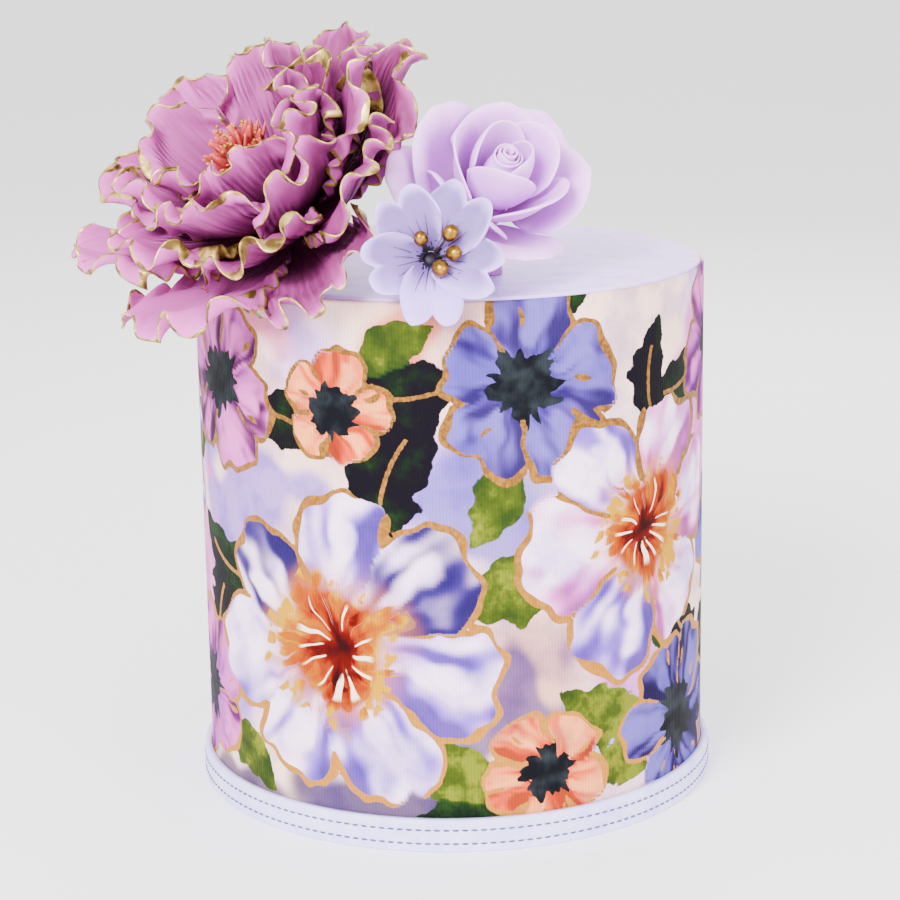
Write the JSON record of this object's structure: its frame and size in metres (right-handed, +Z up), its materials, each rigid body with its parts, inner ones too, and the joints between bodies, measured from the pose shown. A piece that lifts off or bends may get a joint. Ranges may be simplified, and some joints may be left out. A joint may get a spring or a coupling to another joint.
{
  "type": "decorated celebration cake",
  "caption": "Tall round celebration cake with a printed side sheet, a stitched base band, and a ruffled peony, a rose and a small blossom of sugar paste",
  "frame": {"origin": "centre of the cake's flat bottom, on the surface that it stands on", "axes": "+Z up along the cake's axis, -Y towards the front, where the small blossom hangs over the top edge, +X to the viewer's right"},
  "size_m": [0.2121, 0.1927, 0.2591],
  "materials": {
    "fondant": "rolled fondant, pale lilac, satin",
    "printed_sheet": "edible printed sheet with painted flowers and gilt lines, fine ribs",
    "band": "rolled fondant with two stitched lines, satin",
    "mauve_paste": "sugar paste dusted mauve, gilt edges",
    "coral_paste": "dusted coral stamens",
    "lilac_paste": "sugar paste, soft satin lilac",
    "pale_paste": "sugar paste, very pale lavender",
    "gold_dust": "gilt sugar beads, satin metallic"
  },
  "bodies": {
    "root": {"cake": "fondant", "printed_sheet": "printed_sheet", "base_band": "band", "peony_core": "mauve_paste", "peony_petal_01": "mauve_paste", "peony_petal_02": "mauve_paste", "peony_petal_03": "mauve_paste", "peony_petal_04": "mauve_paste", "peony_petal_05": "mauve_paste", "peony_petal_06": "mauve_paste", "peony_petal_07": "mauve_paste", "peony_petal_08": "mauve_paste", "peony_petal_09": "mauve_paste", "peony_petal_10": "mauve_paste", "peony_petal_11": "mauve_paste", "peony_petal_12": "mauve_paste", "peony_petal_13": "mauve_paste", "peony_petal_14": "mauve_paste", "peony_petal_15": "mauve_paste", "peony_petal_16": "mauve_paste", "peony_petal_17": "mauve_paste", "peony_petal_18": "mauve_paste", "peony_petal_19": "mauve_paste", "peony_petal_20": "mauve_paste", "peony_petal_21": "mauve_paste", "peony_petal_22": "mauve_paste", "peony_petal_23": "mauve_paste", "peony_petal_24": "mauve_paste", "peony_petal_25": "mauve_paste", "peony_petal_26": "mauve_paste", "peony_stamens": "coral_paste", "rose_core": "lilac_paste", "rose_bud": "lilac_paste", "rose_petal_01": "lilac_paste", "rose_petal_02": "lilac_paste", "rose_petal_03": "lilac_paste", "rose_petal_04": "lilac_paste", "rose_petal_05": "lilac_paste", "rose_petal_06": "lilac_paste", "rose_petal_07": "lilac_paste", "rose_petal_08": "lilac_paste", "rose_petal_09": "lilac_paste", "rose_petal_10": "lilac_paste", "rose_petal_11": "lilac_paste", "rose_petal_12": "lilac_paste", "rose_petal_13": "lilac_paste", "blossom": "pale_paste", "gold_stamen_1": "gold_dust", "gold_stamen_2": "gold_dust", "gold_stamen_3": "gold_dust", "gold_stamen_4": "gold_dust"}
  },
  "joints": []
}
